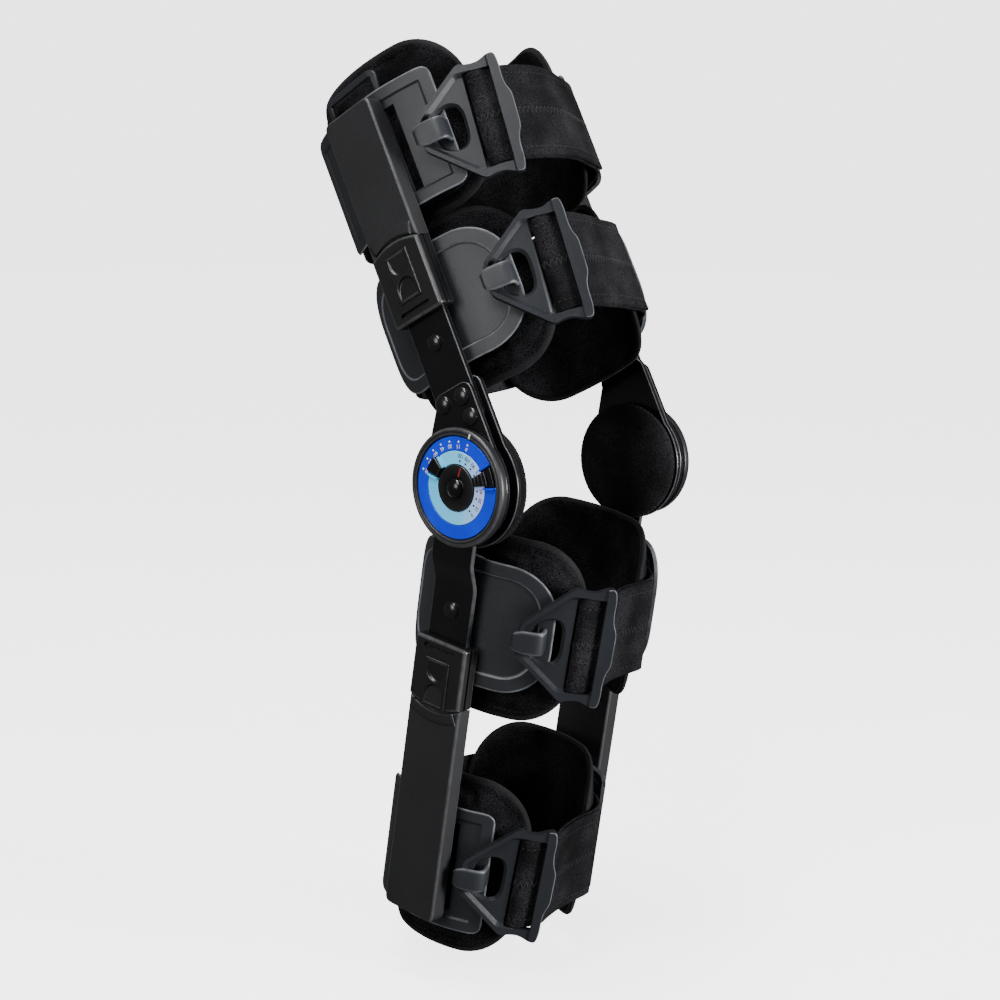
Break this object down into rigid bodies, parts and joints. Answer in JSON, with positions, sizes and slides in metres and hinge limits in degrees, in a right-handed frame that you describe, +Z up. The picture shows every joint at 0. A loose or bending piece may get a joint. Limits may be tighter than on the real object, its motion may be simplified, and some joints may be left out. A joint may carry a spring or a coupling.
{
  "type": "hinged knee brace",
  "caption": "Post-operative hinged knee brace with telescoping side bars, dial hinges that limit flexion, and padded cuffs with hook-on strap buckles.",
  "frame": {"origin": "the middle of the knee hinge axis, half way between the two hinge pins, where the knee sits", "axes": "+X along the hinge axis towards the inner (medial) side of a right leg, -Y the front of the leg, +Z up"},
  "size_m": [0.1752, 0.2071, 0.5146],
  "materials": {
    "sleeve_black": "fine-grained matte moulding",
    "lock_black": "satin to gloss moulding",
    "bar_steel": "gloss black coat, bright worn edges",
    "hinge_black": "satin moulding",
    "dial_blue": "smooth, white numbers",
    "dial_light_blue": "smooth, dark numbers",
    "condyle_cover": "smooth coated cover, sewn rim",
    "cuff_graphite": "satin blue-grey moulding",
    "pad_fabric": "brushed loop fabric with bound edges",
    "strap_webbing": "woven elastic with stitching"
  },
  "bodies": {
    "thigh_frame": {"lateral_thigh_strut": "bar_steel", "lateral_hinge_arm": "bar_steel", "lateral_hinge_back": "bar_steel", "lateral_dial_housing": "hinge_black", "lateral_pivot": "hinge_black", "lateral_condyle_pad": "condyle_cover", "medial_thigh_strut": "bar_steel", "medial_hinge_arm": "bar_steel", "medial_hinge_back": "bar_steel", "medial_dial_housing": "hinge_black", "medial_pivot": "hinge_black", "medial_condyle_pad": "condyle_cover", "lateral_thigh_low_plate": "cuff_graphite", "lateral_thigh_low_pad": "pad_fabric", "medial_thigh_low_plate": "cuff_graphite", "medial_thigh_low_pad": "pad_fabric", "thigh_low_strap": "strap_webbing", "thigh_low_buckle": "cuff_graphite"},
    "thigh_slider": {"lateral_thigh_sleeve": "sleeve_black", "lateral_thigh_lock": "lock_black", "medial_thigh_sleeve": "sleeve_black", "medial_thigh_lock": "lock_black", "lateral_thigh_top_plate": "cuff_graphite", "lateral_thigh_top_pad": "pad_fabric", "medial_thigh_top_plate": "cuff_graphite", "medial_thigh_top_pad": "pad_fabric", "thigh_top_strap": "strap_webbing", "thigh_top_buckle": "cuff_graphite"},
    "calf_frame": {"lateral_calf_strut": "bar_steel", "medial_calf_strut": "bar_steel", "lateral_calf_top_plate": "cuff_graphite", "lateral_calf_top_pad": "pad_fabric", "medial_calf_top_plate": "cuff_graphite", "medial_calf_top_pad": "pad_fabric", "calf_top_strap": "strap_webbing", "calf_top_buckle": "cuff_graphite"},
    "calf_slider": {"lateral_calf_sleeve": "sleeve_black", "lateral_calf_lock": "lock_black", "medial_calf_sleeve": "sleeve_black", "medial_calf_lock": "lock_black", "lateral_calf_low_plate": "cuff_graphite", "lateral_calf_low_pad": "pad_fabric", "medial_calf_low_plate": "cuff_graphite", "medial_calf_low_pad": "pad_fabric", "calf_low_strap": "strap_webbing", "calf_low_buckle": "cuff_graphite"},
    "lateral_extension_limit": {"lateral_extension_dial": "dial_blue", "lateral_extension_stop": "hinge_black"},
    "lateral_flexion_limit": {"lateral_flexion_dial": "dial_light_blue", "lateral_flexion_stop": "hinge_black"},
    "lateral_thigh_release": {"lateral_thigh_button": "lock_black"},
    "lateral_calf_release": {"lateral_calf_button": "lock_black"},
    "medial_extension_limit": {"medial_extension_dial": "dial_blue", "medial_extension_stop": "hinge_black"},
    "medial_flexion_limit": {"medial_flexion_dial": "dial_light_blue", "medial_flexion_stop": "hinge_black"},
    "medial_thigh_release": {"medial_thigh_button": "lock_black"},
    "medial_calf_release": {"medial_calf_button": "lock_black"}
  },
  "joints": [
    {"name": "thigh_length", "type": "slide", "parent": "thigh_frame", "child": "thigh_slider", "axis": [0, 0.4524, 0.8918], "range_m": [0, 0.06]},
    {"name": "knee_hinge", "type": "hinge", "parent": "thigh_frame", "child": "calf_frame", "pos_m": [0, 0, 0], "axis": [1, 0, 0], "range_deg": [-36.5, 53.5]},
    {"name": "calf_length", "type": "slide", "parent": "calf_frame", "child": "calf_slider", "axis": [0, 0.1668, -0.986], "range_m": [-0.006, 0.06]},
    {"name": "lateral_extension_setting", "type": "hinge", "parent": "thigh_frame", "child": "lateral_extension_limit", "pos_m": [0, 0, 0], "axis": [1, 0, 0], "range_deg": [0, 90]},
    {"name": "lateral_flexion_setting", "type": "hinge", "parent": "thigh_frame", "child": "lateral_flexion_limit", "pos_m": [0, 0, 0], "axis": [1, 0, 0], "range_deg": [-90, 30]},
    {"name": "lateral_thigh_press", "type": "slide", "parent": "thigh_slider", "child": "lateral_thigh_release", "axis": [1, 0, 0], "range_m": [0, 0.0015], "stiffness_N_per_m": 1500},
    {"name": "lateral_calf_press", "type": "slide", "parent": "calf_slider", "child": "lateral_calf_release", "axis": [1, 0, 0], "range_m": [0, 0.0015], "stiffness_N_per_m": 1500},
    {"name": "medial_extension_setting", "type": "hinge", "parent": "thigh_frame", "child": "medial_extension_limit", "pos_m": [0, 0, 0], "axis": [1, 0, 0], "range_deg": [0, 90]},
    {"name": "medial_flexion_setting", "type": "hinge", "parent": "thigh_frame", "child": "medial_flexion_limit", "pos_m": [0, 0, 0], "axis": [1, 0, 0], "range_deg": [-90, 30]},
    {"name": "medial_thigh_press", "type": "slide", "parent": "thigh_slider", "child": "medial_thigh_release", "axis": [-1, 0, 0], "range_m": [0, 0.0015], "stiffness_N_per_m": 1500},
    {"name": "medial_calf_press", "type": "slide", "parent": "calf_slider", "child": "medial_calf_release", "axis": [-1, 0, 0], "range_m": [0, 0.0015], "stiffness_N_per_m": 1500}
  ]
}
